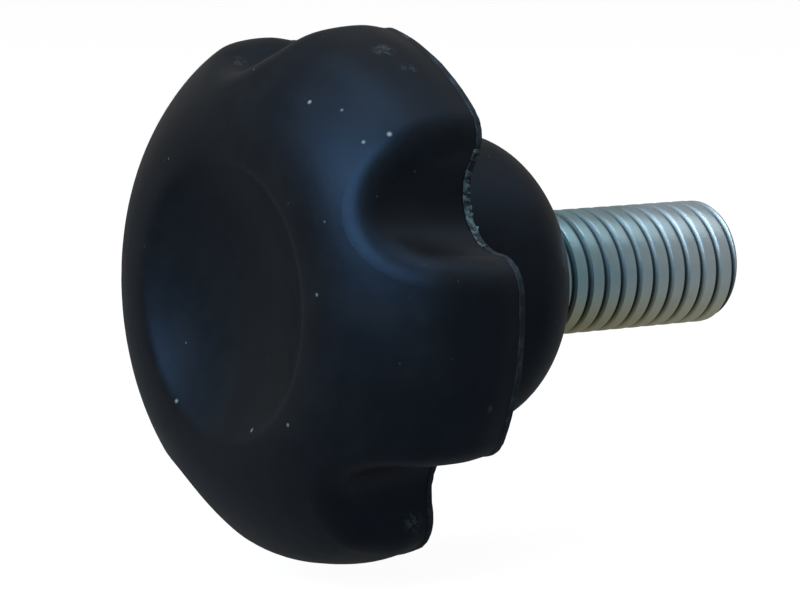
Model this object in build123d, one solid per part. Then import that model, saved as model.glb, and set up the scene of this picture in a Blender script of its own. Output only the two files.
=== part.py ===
from build123d import *
from math import cos, hypot, radians, sin, sqrt
import os

# Five-lobe clamping handwheel with a moulded-in threaded stud.
# Millimetres. The wheel turns about Y: the stud points along +Y, the dished
# face looks along -Y, +Z is up. Origin: centre of the seat face of the hub.

# stud: 3/8 in - 16, 3/4 in free length
STUD_D = 9.525
STUD_FREE = 19.05
STUD_TIP_H = 1.2           # length of the chamfer at the tip
STUD_TIP_DROP = 1.0        # radial drop of that chamfer
SHANK_D = 8.5              # plain shank inside the wheel, the blank the thread is rolled on
THREAD_RUNOUT = 0.9        # cone from the shank out to the thread, just under the seat face
ANCHOR_AF = 14.29          # hex head moulded into the wheel, across flats
ANCHOR_H = 5.6
ANCHOR_DEPTH = 14.8        # seat face to the near side of the hex head

# hub behind the lobes: a cylinder with a rounded end
HUB_R = 11.2
HUB_CROWN_H = 5.7          # height of the rounded end
HUB_CROWN_C = 1.8          # radius at which its ellipse is centred
HUB_SEAT_R = 6.55          # flat seat round the stud
CROWN_END = (-1, 0.68)     # slope of the rounded end where it meets the seat

# lobed wheel
WHEEL_R = 20.0             # over the lobes
BACK_Y = -14.05            # plane of the lobes' back face
FACE_Y = -26.35            # crest of the ridge round the dish
DISH_R = 10.8              # radius of that crest
DISH_DEPTH = 3.0
DISH_FLAT_R = 0.9          # small flat at the middle of the dish
# dish floor as (share of DISH_R, share of DISH_DEPTH), a shallow bowl with a rounded rim
DISH = [(0.35, 0.90), (0.70, 0.50), (0.90, 0.115)]
# dome from the ridge to the back edge, as (drop from WHEEL_R, share of the depth)
DOME = [(4.15, 0.14), (2.05, 0.30), (0.78, 0.45), (0.20, 0.62), (0.0, 0.80)]
BACK_DRAFT = 0.35          # how far the back edge draws in from WHEEL_R
DOME_END = (-0.16, 1)      # slope of the dome where it meets the back face

LOBES = 5
FLUTE_ANGLE = 24.6         # angle of the first finger flute, from +X to +Z
FLUTE_R = 4.1              # flute radius at the back face
FLUTE_INSET = 1.0          # from the rim in to the flute's centre, at the back face
FLUTE_LEAN = 1.95          # how far its centre moves outward over FLUTE_LEN
FLUTE_NARROW = 0.63        # how much narrower it gets over FLUTE_LEN
FLUTE_LEN = 18.0
FLUTE_BLEND = 2.6          # soft edge between flute and dome
OVERCUT = 1.0              # how far a flute's cutter stands past the back face


def polar(r, degrees):
    return r * cos(radians(degrees)), r * sin(radians(degrees))


def hub_radius(y):
    """Radius of the hub's rounded end, a quarter ellipse cut off by the seat."""
    seat = (HUB_SEAT_R - HUB_CROWN_C) / (HUB_R - HUB_CROWN_C)
    height = HUB_CROWN_H / sqrt(1 - seat ** 2)
    t = (y + HUB_CROWN_H) / height
    return HUB_CROWN_C + (HUB_R - HUB_CROWN_C) * sqrt(1 - t ** 2)


# ---------------------------------------------------------------- wheel body
depth = BACK_Y - FACE_Y
dome_points = [(WHEEL_R - drop, FACE_Y + share * depth) for drop, share in DOME]
dish_points = [(DISH_R * out, FACE_Y + DISH_DEPTH * down) for out, down in DISH]
crown_levels = [-HUB_CROWN_H * (1 - k / 6) for k in range(7)]
crown_points = [(hub_radius(y), y) for y in crown_levels]

with BuildPart() as wheel:
    with BuildSketch(Plane.XY):
        with BuildLine():
            Line((0, FACE_Y + DISH_DEPTH), (DISH_FLAT_R, FACE_Y + DISH_DEPTH))
            Spline((DISH_FLAT_R, FACE_Y + DISH_DEPTH), *dish_points, (DISH_R, FACE_Y),
                   tangents=[(1, 0), (1, 0)])
            Spline((DISH_R, FACE_Y), *dome_points, (WHEEL_R - BACK_DRAFT, BACK_Y),
                   tangents=[(1, 0), DOME_END])
            Line((WHEEL_R - BACK_DRAFT, BACK_Y), (HUB_R, BACK_Y))
            Line((HUB_R, BACK_Y), (HUB_R, -HUB_CROWN_H))
            Spline(crown_points, tangents=[(0, 1), CROWN_END])
            Line((HUB_SEAT_R, 0), (0, 0))
            Line((0, 0), (0, FACE_Y + DISH_DEPTH))
        make_face()
    revolve(axis=Axis.Y)
body = wheel.part

# finger flutes, open to the back face and running out through the dome
for k in range(LOBES):
    angle = FLUTE_ANGLE + 360 / LOBES * k
    x0, z0 = polar(WHEEL_R - FLUTE_INSET, angle)
    x1, z1 = polar(WHEEL_R - FLUTE_INSET + FLUTE_LEAN, angle)
    near = Plane(origin=(x0, BACK_Y + OVERCUT, z0), z_dir=(0, -1, 0))
    far = Plane(origin=(x1, BACK_Y + OVERCUT - FLUTE_LEN, z1), z_dir=(0, -1, 0))
    body -= loft([near * Circle(FLUTE_R), far * Circle(FLUTE_R - FLUTE_NARROW)])

# soft edges where the flutes leave the dome
middles = [(edge, edge.center()) for edge in body.edges()]
rims = [edge for edge, c in middles if hypot(c.X, c.Z) > DISH_R and c.Y < BACK_Y - OVERCUT / 2]
body = fillet(rims, FLUTE_BLEND)

# ---------------------------------------------------------------- stud
with BuildPart() as shank:
    with BuildSketch(Plane.XY):
        with BuildLine():
            Polyline((0, -ANCHOR_DEPTH), (SHANK_D / 2, -ANCHOR_DEPTH),
                     (SHANK_D / 2, -THREAD_RUNOUT), (STUD_D / 2, 0),
                     (STUD_D / 2, STUD_FREE - STUD_TIP_H),
                     (STUD_D / 2 - STUD_TIP_DROP, STUD_FREE), (0, STUD_FREE), close=True)
        make_face()
    revolve(axis=Axis.Y)
head = Plane(origin=(0, -ANCHOR_DEPTH, 0), z_dir=(0, -1, 0))
stud = shank.part + extrude(head * RegularPolygon(ANCHOR_AF / 2, 6, major_radius=False), ANCHOR_H)
body = body - stud

os.makedirs("parts", exist_ok=True)
for name, piece in (("wheel_body", body), ("threaded_stud", stud)):
    export_step(piece, "parts/" + name + ".step")
    box = piece.bounding_box()
    print(name, "valid", piece.is_valid, "solids", len(piece.solids()), "volume %.1f" % piece.volume,
          "x %.2f..%.2f y %.2f..%.2f z %.2f..%.2f"
          % (box.min.X, box.max.X, box.min.Y, box.max.Y, box.min.Z, box.max.Z))
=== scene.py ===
from math import atan2, cos, degrees, hypot, pi, radians, sin

import bpy
from mathutils import Matrix, Vector


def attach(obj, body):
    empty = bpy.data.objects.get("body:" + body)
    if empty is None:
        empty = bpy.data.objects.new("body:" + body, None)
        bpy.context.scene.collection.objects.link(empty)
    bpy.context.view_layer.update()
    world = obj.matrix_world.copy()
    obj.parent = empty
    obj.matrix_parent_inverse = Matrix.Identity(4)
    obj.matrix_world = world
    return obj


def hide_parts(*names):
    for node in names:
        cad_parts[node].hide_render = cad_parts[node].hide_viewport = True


# Lobed clamping handwheel: moulded wheel, threaded stud and the thin moulding
# lip round the back of the lobes. All sizes are in metres.

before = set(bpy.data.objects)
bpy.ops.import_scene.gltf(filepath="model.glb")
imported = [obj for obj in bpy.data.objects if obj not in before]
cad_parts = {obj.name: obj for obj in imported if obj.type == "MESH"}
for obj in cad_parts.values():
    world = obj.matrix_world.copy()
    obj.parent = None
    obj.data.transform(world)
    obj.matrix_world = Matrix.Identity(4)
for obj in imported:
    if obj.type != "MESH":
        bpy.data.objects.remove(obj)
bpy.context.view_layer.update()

MM = 0.001
BACK_Y = -14.05 * MM        # back face of the lobes
LOBES_FROM = 13 * MM        # the lobes' back edge lies outside this radius
FLUTE_ANGLE = 24.6          # first finger flute, degrees from +X to +Z
SAME_LEVEL = 0.02 * MM      # nearer than this counts as on the back face
WELD = 0.002 * MM

STUD_R = 4.7625 * MM
STUD_END = 19.05 * MM
STUD_ROOT = -14.8 * MM      # where the hex anchor starts
TIP_ROUND = 0.95 * MM
SHANK_R = 4.25 * MM         # plain shank inside the wheel
RUNOUT = 0.9 * MM           # cone from the shank out to the thread
SHANK_OVERLAP = 0.4 * MM    # how far the shank reaches into that cone
ANCHOR_AF = 14.29 * MM
ANCHOR_H = 5.6 * MM
ANCHOR_BEVEL = 0.3 * MM

PITCH = 1.5875 * MM
THREAD_DEPTH = 0.30 * PITCH
THREAD_SHIFT = -0.69 * MM   # where along the stud the grooves fall
THREAD_TURNS = 16
THREAD_LEAD_IN = 2.5 * PITCH
# height of the thread form across one pitch, from root to crest to root
RISE = [0, 0.10, 0.55, 0.92, 0.98, 0.99, 1, 1]
THREAD_FORM = RISE + [1] + RISE[::-1]

LIP_WIDTH = 0.50 * MM
LIP_THICK = 0.24 * MM
LIP_ROUND = 0.09 * MM
LIP_PROUD = 0.02 * MM       # how far it stands past the back face
LIP_WAVER = 0.035 * MM
FLASH_REACH = 11            # degrees to each side of the flash's middle
FLASH_TURN = 2              # degrees from the flute's middle to the flash's
FLASH_DROP = 0.62 * MM      # from the back face to the foot of the flash
FLASH_HEIGHT = 0.55 * MM
FLASH_RAGGED = 0.22 * MM
FLASH_OUT = 0.13 * MM
FLASH_THICK = 0.06 * MM

FLOOR_Z = -21.5 * MM
FLOOR_SIZE = 3.0
MIRRORED = 0.12             # share of the white ground that gloss and metal show
LAMP_DISTANCE = 0.6


# ------------------------------------------------------------------ materials
class Signal:
    """A node socket that can be added, multiplied and so on in an expression."""

    def __init__(self, nodes, socket):
        self.nodes = nodes
        self.socket = socket

    def math(self, operation, *others):
        values = dict(enumerate([self, *others]))
        return self.nodes.node("ShaderNodeMath", {"operation": operation}, values)

    def __add__(self, other):
        return self.math("ADD", other)

    __radd__ = __add__

    def __mul__(self, other):
        return self.math("MULTIPLY", other)

    __rmul__ = __mul__

    def __sub__(self, other):
        return self.math("SUBTRACT", other)

    def __rsub__(self, other):
        return (self * -1.0) + other

    def __pow__(self, other):
        return self.math("POWER", other)

    def __lt__(self, other):
        return self.math("LESS_THAN", other)

    def ramp(self, low, high):
        """0 below low, 1 above high, smooth between."""
        settings = {"interpolation_type": "SMOOTHSTEP"}
        return self.nodes.node("ShaderNodeMapRange", settings, {0: self, 1: low, 2: high})


class Nodes:
    """An emptied node tree, and the one method that adds a node to it."""

    def __init__(self, owner):
        owner.use_nodes = True
        self.tree = owner.node_tree
        self.tree.nodes.clear()

    def node(self, kind, settings, inputs, output=0):
        made = self.tree.nodes.new(kind)
        for key, value in settings.items():
            setattr(made, key, value)
        for key, value in inputs.items():
            value = getattr(value, "socket", value)
            if isinstance(value, bpy.types.NodeSocket):
                self.tree.links.new(value, made.inputs[key])
            else:
                made.inputs[key].default_value = value
        return Signal(self, made.outputs[output] if made.outputs else None)

    def unlit_rays(self, mirrored):
        """1 for what the camera sees directly, and a share of it for mirrored or clear views."""
        path = {name: self.node("ShaderNodeLightPath", {}, {}, name)
                for name in ("Is Camera Ray", "Is Glossy Ray", "Is Transmission Ray")}
        return (path["Is Camera Ray"]
                + (path["Is Glossy Ray"] + path["Is Transmission Ray"]) * mirrored)


class Finish(Nodes):
    """One procedural finish, built on the object's own coordinates."""

    def __init__(self, name):
        self.material = bpy.data.materials.new(name)
        super().__init__(self.material)
        self.place = self.node("ShaderNodeTexCoord", {}, {}, "Object")
        self.x, self.y, self.z = (
            self.node("ShaderNodeSeparateXYZ", {}, {0: self.place}, letter) for letter in "XYZ")

    def surface(self, **inputs):
        """The finished shader: what varies comes as a signal, the rest as plain values."""
        named_inputs = {socket.replace("_", " "): value for socket, value in inputs.items()}
        shader = self.node("ShaderNodeBsdfPrincipled", {}, named_inputs)
        self.node("ShaderNodeOutputMaterial", {}, {0: shader})
        return self.material

    def shifted(self, stretch=(1, 1, 1), shift=(0, 0, 0)):
        return self.node("ShaderNodeMapping", {},
                         {"Vector": self.place, "Scale": stretch, "Location": shift})

    def noise(self, scale, detail=2.0, rough=0.5, stretch=(1, 1, 1), shift=(0, 0, 0)):
        return self.node("ShaderNodeTexNoise", {},
                         {"Vector": self.shifted(stretch, shift), "Scale": scale,
                          "Detail": detail, "Roughness": rough})

    def cells(self, scale, output, shift=(0, 0, 0)):
        return self.node("ShaderNodeTexVoronoi", {"feature": "F1"},
                         {"Vector": self.shifted(shift=shift), "Scale": scale}, output)

    def mix(self, factor, first, second):
        settings = {"data_type": "RGBA"}
        return self.node("ShaderNodeMix", settings, {0: factor, 6: first, 7: second}, 2)

    def specks(self, scale, size, share, shift=(0, 0, 0)):
        """Small round dots in a share of the cells."""
        near = 1.0 - self.cells(scale, "Distance", shift).ramp(size * 0.6, size)
        pick = self.node("ShaderNodeSeparateColor", {}, {0: self.cells(scale, "Color", shift)})
        return near * (pick < share)

    def mark(self, middle, reach):
        """1 at a place on the surface, fading to 0 at its reach."""
        spot = tuple(MM * c for c in middle)
        away = self.node("ShaderNodeVectorMath", {"operation": "DISTANCE"},
                         {0: self.place, 1: spot}, "Value")
        return 1.0 - away.ramp(0.15 * reach * MM, reach * MM)

    def marks(self, places):
        total = 0.0
        for middle, reach, strength in places:
            total = self.mark(middle, reach) * strength + total
        return total

    def bump(self, height, strength, distance):
        return self.node("ShaderNodeBump", {}, {"Height": height, "Strength": strength,
                                                "Distance": distance})


def rgb(r, g, b):
    return (r, g, b, 1.0)


# rubbed or dusty places on the wheel, the last rubbed place being a painted highlight behind the
# top-left notch: (middle in mm, reach in mm, strength)
RUBBED_AND_HIGHLIGHT = [((8.5, -18, 18), 1.1, 1.0), ((11, -17.5, 17), 0.9, 0.8), ((9.5, -16, -16), 1.3, 1.0),
          ((18.5, -14.5, -10.5), 1.0, 0.8), ((19, -16.5, -6.5), 0.5, 0.8), ((-4.5, -21.5, 17), 1.0, 0.8)]
DUSTED = [((8, -24, 14.5), 0.22, 1.0), ((10.5, -23, 14), 0.20, 0.9), ((14, -21.5, 12.5), 0.26, 1.0),
          ((13, -23, 12), 0.20, 0.8), ((15, -25, -4.5), 0.22, 0.8), ((8.5, -26.3, -8), 0.20, 0.7),
          ((12, -26.2, 1.5), 0.20, 0.7), ((-6, -26.2, -8), 0.22, 0.8), ((3.5, -26, -9), 0.22, 0.8)]


def black_plastic():
    f = Finish("black_plastic")
    cloud = f.noise(230.0, 4.0, 0.6)
    mottle = f.noise(620.0, 3.0, 0.65, shift=(0.004, 0.002, 0.009))
    grain = f.noise(2600.0, 3.0, 0.6)
    pebble = f.noise(700.0, 2.0, 0.5)
    tone = f.mix(cloud.ramp(0.35, 0.7), rgb(0.0062, 0.0056, 0.0051), rgb(0.0090, 0.0084, 0.0078))
    tone = f.mix(mottle.ramp(0.50, 0.80) * 0.4, tone, rgb(0.010, 0.012, 0.014))
    dust = f.specks(900.0, 0.09, 0.03) + f.specks(1500.0, 0.08, 0.025, (0.01, 0.004, 0.0))
    tone = f.mix(dust * 0.45, tone, rgb(0.20, 0.24, 0.24))
    tone = f.mix(f.marks(DUSTED), tone, rgb(0.26, 0.32, 0.32))
    torn = f.noise(1900.0, 4.0, 0.7).ramp(0.44, 0.60)
    scuff = f.noise(420.0, 5.0, 0.75, (1.0, 0.45, 1.0), (0.003, 0.0, 0.007)).ramp(0.68, 0.78)
    # lighter scuffs and rubbed places, and at the last rubbed place a painted highlight
    tone = f.mix(scuff * 0.4 + f.marks(RUBBED_AND_HIGHLIGHT) * torn * 0.8, tone, rgb(0.060, 0.074, 0.085))
    return f.surface(Base_Color=tone, IOR=1.5, Specular_IOR_Level=0.34,
                     Specular_Tint=rgb(0.24, 0.53, 1.0),
                     Roughness=0.38 + 0.14 * cloud + 0.12 * (mottle - 0.5) + 0.06 * (grain - 0.5),
                     Normal=f.bump(grain * 0.4 + pebble * 0.3 + mottle * 0.3, 0.26, 0.00007))


def zinc_plate():
    """Bluish plating, painted warm below and blue above as a painted reflection, paler towards the tip
    as a painted highlight, with painted shade in the thread's roots and painted glints on the crests.
    """
    f = Finish("zinc_steel")
    patch = f.noise(160.0, 3.0, 0.6)
    streak = f.noise(900.0, 4.0, 0.65, (1.0, 3.5, 1.0))
    fine = f.noise(4200.0, 2.0, 0.5)
    out = (f.x * f.x + f.z * f.z) ** 0.5
    crest = out.ramp(STUD_R - 0.75 * THREAD_DEPTH, STUD_R - 0.10 * THREAD_DEPTH)
    # warm olive below and blue above, by height: a painted reflection of warm light from below and
    # bluish light from above
    low = f.z.ramp(-0.0048, 0.0006)
    # paler towards the tip: a painted highlight
    tip = f.y.ramp(0.001, 0.018)
    tone = f.mix(low, rgb(0.72, 0.66, 0.36), rgb(0.38, 0.62, 0.72))
    tone = f.mix(tip, tone, f.mix(low, rgb(0.95, 0.90, 0.62), rgb(0.74, 0.90, 0.98)))
    tone = f.mix(patch.ramp(0.45, 0.75) * 0.55, tone, rgb(0.36, 0.46, 0.47))
    # nearly black in the thread's roots: painted shade
    tone = f.mix((1.0 - crest) * 0.88, tone, rgb(0.035, 0.050, 0.058))
    # near-white specks on the crests: painted glints
    crest_glints = f.specks(1300.0, 0.16, 0.06)
    tone = f.mix(crest_glints * crest * 0.8, tone, rgb(0.90, 0.95, 0.95))
    return f.surface(Base_Color=tone, Metallic=1.0,
                     Roughness=0.24 + 0.16 * streak + 0.08 * patch + 0.2 * (1.0 - crest),
                     Normal=f.bump(streak * 0.6 + fine * 0.4, 0.30, 0.00006))


def lip_sheen_and_chips():
    """The back lip, greyer than the wheel as a painted sheen, with pale chips from handling."""
    f = Finish("lip_sheen_and_chips")
    lip_sheen = f.noise(900.0, 4.0, 0.7)
    chips = f.specks(1100.0, 0.22, 0.10)
    # lighter bluish tone over the lip: a painted sheen
    tone = f.mix(lip_sheen.ramp(0.42, 0.68), rgb(0.011, 0.013, 0.016), rgb(0.040, 0.048, 0.056))
    tone = f.mix(chips * 0.6, tone, rgb(0.22, 0.28, 0.30))
    return f.surface(Base_Color=tone, IOR=1.5, Specular_IOR_Level=0.34,
                     Specular_Tint=rgb(0.45, 0.72, 1.0), Roughness=0.38 + 0.2 * lip_sheen,
                     Normal=f.bump(lip_sheen, 0.4, 0.00008))


def torn_flash():
    """Torn moulding flash, pale where it whitened."""
    f = Finish("torn_flash")
    ragged = f.noise(1500.0, 4.0, 0.7)
    tone = f.mix(ragged.ramp(0.42, 0.62), rgb(0.018, 0.026, 0.031), rgb(0.13, 0.21, 0.24))
    return f.surface(Base_Color=tone, IOR=1.5, Specular_IOR_Level=0.3, Roughness=0.5,
                     Normal=f.bump(ragged, 0.5, 0.0001))


# ------------------------------------------------------------------ modelling
def start_edit(mode="VERT"):
    bpy.ops.object.mode_set(mode="EDIT")
    bpy.ops.mesh.select_mode(type=mode)


def end_edit():
    bpy.ops.object.mode_set(mode="OBJECT")


def pick_vertices(piece, test):
    """Selects the vertices whose place passes the test, from inside edit mode."""
    bpy.ops.mesh.select_all(action="DESELECT")
    end_edit()
    for vertex in piece.data.vertices:
        vertex.select = bool(test(vertex.co))
    bpy.ops.object.mode_set(mode="EDIT")


def named(name):
    piece = bpy.context.active_object
    piece.name = name
    piece.data.name = name
    return piece


def add_modifier(piece, kind, **settings):
    bpy.context.view_layer.objects.active = piece
    modifier = piece.modifiers.new(kind.lower(), kind)
    for key, value in settings.items():
        setattr(modifier, key, value)
    bpy.ops.object.modifier_apply(modifier=modifier.name)


def pick_only(piece):
    bpy.ops.object.select_all(action="DESELECT")
    piece.select_set(True)
    bpy.context.view_layer.objects.active = piece


def settle(piece):
    """Puts the piece's place and turn into its mesh."""
    pick_only(piece)
    bpy.ops.object.transform_apply(location=True, rotation=True, scale=True)


def smooth(piece, angle):
    pick_only(piece)
    bpy.ops.object.shade_smooth_by_angle(angle=radians(angle))


def pick_all():
    bpy.ops.mesh.select_all(action="SELECT")


def move(x, y, z):
    bpy.ops.transform.translate(value=(x, y, z))


def extrude_along_y(length):
    bpy.ops.mesh.extrude_edges_move(TRANSFORM_OT_translate={"value": (0, length, 0)})


def face_outward():
    bpy.ops.mesh.normals_make_consistent(inside=False)


def rod(name, sides, radius, length, middle):
    """A cylinder or prism along Y."""
    bpy.ops.mesh.primitive_cylinder_add(vertices=sides, radius=radius, depth=length,
                                        location=(0, middle, 0), rotation=(radians(90), 0, 0))
    piece = named(name)
    settle(piece)
    return piece


def cut_with(piece, tool, operation):
    add_modifier(piece, "BOOLEAN", object=tool, operation=operation, solver="EXACT")
    bpy.data.objects.remove(tool, do_unlink=True)


def thread_coil(turns, start_y):
    """A closed helical thread along +Y, longer than the stud at both ends."""
    bpy.ops.mesh.primitive_plane_add(size=PITCH, location=(0, 0, 0))
    coil = named("threaded_stud_visual")
    start_edit()
    pick_vertices(coil, lambda co: co.x > 0)
    bpy.ops.mesh.delete(type="VERT")
    pick_all()
    move(PITCH / 2 + STUD_R - THREAD_DEPTH, start_y, 0)
    steps = len(THREAD_FORM) - 1
    bpy.ops.mesh.subdivide(number_cuts=steps - 1)
    foot = start_y - PITCH / 2
    for step, rise in enumerate(THREAD_FORM):
        if rise:
            level = foot + step * PITCH / steps
            pick_vertices(coil, lambda co: abs(co.y - level) < PITCH / steps / 4)
            move(rise * THREAD_DEPTH, 0, 0)
    end_edit()
    add_modifier(coil, "SCREW", axis="Y", angle=2 * pi, screw_offset=PITCH, iterations=turns,
                 steps=72, render_steps=72, use_merge_vertices=True, merge_threshold=1e-7,
                 use_normal_calculate=True)
    start_edit()
    pick_all()
    bpy.ops.mesh.remove_doubles(threshold=1e-7)
    bpy.ops.mesh.select_all(action="DESELECT")
    bpy.ops.mesh.select_non_manifold()
    bpy.ops.mesh.edge_face_add()
    pick_all()
    face_outward()
    end_edit()
    return coil


def stud_envelope():
    """The threaded length's outer form, with a run-out cone and a rounded tip."""
    form = rod("stud_form", 128, STUD_R, STUD_END + RUNOUT, (STUD_END - RUNOUT) / 2)
    start_edit()
    pick_all()
    bpy.ops.mesh.bisect(plane_co=(0, 0, 0), plane_no=(0, 1, 0))
    pick_vertices(form, lambda co: co.y < -RUNOUT / 2)
    slim = SHANK_R / STUD_R
    bpy.ops.transform.resize(value=(slim, 1, slim))
    pick_vertices(form, lambda co: co.y > STUD_END - 1e-6)
    bpy.ops.mesh.bevel(offset=TIP_ROUND, offset_type="OFFSET", segments=4, profile=0.55,
                       affect="EDGES")
    end_edit()
    return form


def build_stud():
    stud = thread_coil(THREAD_TURNS, THREAD_SHIFT - THREAD_LEAD_IN)
    cut_with(stud, stud_envelope(), "INTERSECT")
    shank_end = SHANK_OVERLAP - RUNOUT
    shank = rod("stud_shank", 96, SHANK_R, shank_end - STUD_ROOT, (shank_end + STUD_ROOT) / 2)
    cut_with(stud, shank, "UNION")
    head = rod("stud_anchor", 6, ANCHOR_AF / 2 / cos(radians(30)), ANCHOR_H,
               STUD_ROOT - ANCHOR_H / 2)
    start_edit("EDGE")
    pick_all()
    bpy.ops.mesh.bevel(offset=ANCHOR_BEVEL, segments=2, affect="EDGES")
    end_edit()
    cut_with(stud, head, "UNION")
    smooth(stud, 38)
    return stud


def lobe_edge(name, test):
    """The wheel's sharp back edge, lifted off the moulded body as a loop of its own."""
    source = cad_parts["wheel_body"]
    whole = bpy.data.objects.new(name + "_source", source.data.copy())
    bpy.context.collection.objects.link(whole)
    pick_only(whole)
    start_edit("EDGE")
    pick_all()
    bpy.ops.mesh.remove_doubles(threshold=WELD)
    bpy.ops.mesh.select_all(action="DESELECT")
    bpy.ops.mesh.edges_select_sharp(sharpness=radians(50))
    end_edit()
    places = [vertex.co for vertex in whole.data.vertices]
    for edge in whole.data.edges:
        edge.select = edge.select and all(
            abs(places[v].y - BACK_Y) < SAME_LEVEL and test(places[v]) for v in edge.vertices)
    bpy.ops.object.mode_set(mode="EDIT")
    bpy.ops.mesh.duplicate()
    bpy.ops.mesh.separate(type="SELECTED")
    end_edit()
    loop = next(o for o in bpy.context.selected_objects if o is not whole)
    bpy.data.objects.remove(whole, do_unlink=True)
    loop.name = loop.data.name = name
    pick_only(loop)
    return loop


def out_on_lobes(place):
    return hypot(place.x, place.z) > LOBES_FROM


def in_first_flute(place):
    turn = degrees(atan2(place.z, place.x))
    return out_on_lobes(place) and abs(turn - FLUTE_ANGLE - FLASH_TURN) < FLASH_REACH


def build_lip():
    """The rounded moulding lip that runs round the back edge of the lobes."""
    lip = lobe_edge("moulding_lip", out_on_lobes)
    start_edit("EDGE")
    pick_all()
    move(0, LIP_PROUD, 0)
    extrude_along_y(-LIP_WIDTH)
    pick_all()
    bpy.ops.transform.vertex_random(offset=LIP_WAVER, seed=3)
    face_outward()
    end_edit()
    add_modifier(lip, "SOLIDIFY", thickness=LIP_THICK, offset=0.0, use_even_offset=True)
    add_modifier(lip, "BEVEL", width=LIP_ROUND, segments=3, limit_method="ANGLE",
                 angle_limit=radians(50))
    smooth(lip, 60)
    return lip


def build_flash():
    """A torn fin of flash left on the lip in the first finger flute."""
    fin = lobe_edge("lip_flash", in_first_flute)
    start_edit("EDGE")
    pick_all()
    move(0, -FLASH_DROP, 0)
    bpy.ops.mesh.subdivide(number_cuts=2)
    extrude_along_y(FLASH_HEIGHT)
    bpy.ops.transform.vertex_random(offset=FLASH_RAGGED, seed=8)
    pick_all()
    out = radians(FLUTE_ANGLE)
    move(FLASH_OUT * cos(out), 0, FLASH_OUT * sin(out))
    face_outward()
    end_edit()
    add_modifier(fin, "SOLIDIFY", thickness=FLASH_THICK, offset=0.0)
    smooth(fin, 25)
    return fin


# ------------------------------------------------------------------ pieces
bpy.ops.object.select_all(action="DESELECT")
stud = build_stud()
stud.data.materials.clear()
stud.data.materials.append(zinc_plate())
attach(stud, "root")
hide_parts("threaded_stud")

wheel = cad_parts["wheel_body"]
plastic = black_plastic()
for slot in wheel.material_slots:
    slot.material = plastic

for piece, finish in ((build_lip(), lip_sheen_and_chips()), (build_flash(), torn_flash())):
    piece.data.materials.clear()
    piece.data.materials.append(finish)
    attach(piece, "root")


# ------------------------------------------------------------------ stage
def pale_ground():
    """A matt floor that the camera sees nearly white, and that still takes a shadow."""
    f = Finish("pale_floor")
    return f.surface(Base_Color=rgb(0.14, 0.14, 0.14), Roughness=0.9, Specular_IOR_Level=0.0,
                     Emission_Color=rgb(1, 1, 1), Emission_Strength=f.unlit_rays(MIRRORED) * 0.96)


def white_studio():
    """White to the camera, a share of that in mirrored views, and soft warm grey as a light."""
    world = bpy.data.worlds.new("studio")
    bpy.context.scene.world = world
    n = Nodes(world)
    soft = n.node("ShaderNodeBackground", {}, {"Color": rgb(1.0, 0.95, 0.88), "Strength": 0.15})
    white = n.node("ShaderNodeBackground", {}, {"Color": rgb(1, 1, 1), "Strength": 1.0})
    lit = n.node("ShaderNodeMixShader", {}, {0: n.unlit_rays(MIRRORED), 1: soft, 2: white})
    n.node("ShaderNodeOutputWorld", {}, {0: lit})


bpy.ops.mesh.primitive_plane_add(size=FLOOR_SIZE, location=(0, 0, FLOOR_Z))
floor = named("floor")
floor.data.materials.append(pale_ground())
white_studio()

# camera: same side of the wheel as the dished face, a little above the stud
EYE = Vector((226.26499, -176.493914, 31.857700)) * MM
AZIMUTH, ELEVATION = radians(53.70422513), radians(6.69692727)
SENSOR, LENS = 36.0, 171.699575
back = Vector((sin(AZIMUTH) * cos(ELEVATION), -cos(AZIMUTH) * cos(ELEVATION), sin(ELEVATION)))
right = Vector((cos(AZIMUTH), sin(AZIMUTH), 0))
up = back.cross(right)
camera = bpy.data.objects.new("camera", bpy.data.cameras.new("camera"))
bpy.context.collection.objects.link(camera)
camera.matrix_world = Matrix((
    (right.x, up.x, back.x, EYE.x), (right.y, up.y, back.y, EYE.y),
    (right.z, up.z, back.z, EYE.z), (0, 0, 0, 1)))
camera.data.sensor_width = SENSOR
camera.data.lens = LENS
camera.data.clip_start, camera.data.clip_end = 0.01, 20
bpy.context.scene.camera = camera


def softbox(name, turn, height, width, tall, power, colour):
    """An area lamp placed by its direction from the wheel, in the camera's terms."""
    a, e = radians(turn), radians(height)
    way = back * cos(a) * cos(e) + right * sin(a) * cos(e) + up * sin(e)
    target = Vector((0, -18 * MM, 0))
    lamp = bpy.data.lights.new(name, "AREA")
    lamp.shape = "RECTANGLE"
    lamp.size, lamp.size_y = width, tall
    lamp.energy = power
    lamp.color = colour
    holder = bpy.data.objects.new(name, lamp)
    bpy.context.collection.objects.link(holder)
    holder.location = target + way * LAMP_DISTANCE
    holder.rotation_mode = "QUATERNION"
    holder.rotation_quaternion = (-way).to_track_quat("-Z", "Y")


softbox("key", -30, 27, 0.50, 0.34, 3.9, (0.74, 0.88, 1.0))
softbox("top", -4, 72, 0.50, 0.36, 1.35, (0.84, 0.93, 1.0))
softbox("side", 100, 54, 0.40, 0.34, 0.19, (0.86, 0.94, 1.0))

bpy.context.scene.view_settings.view_transform = "Standard"
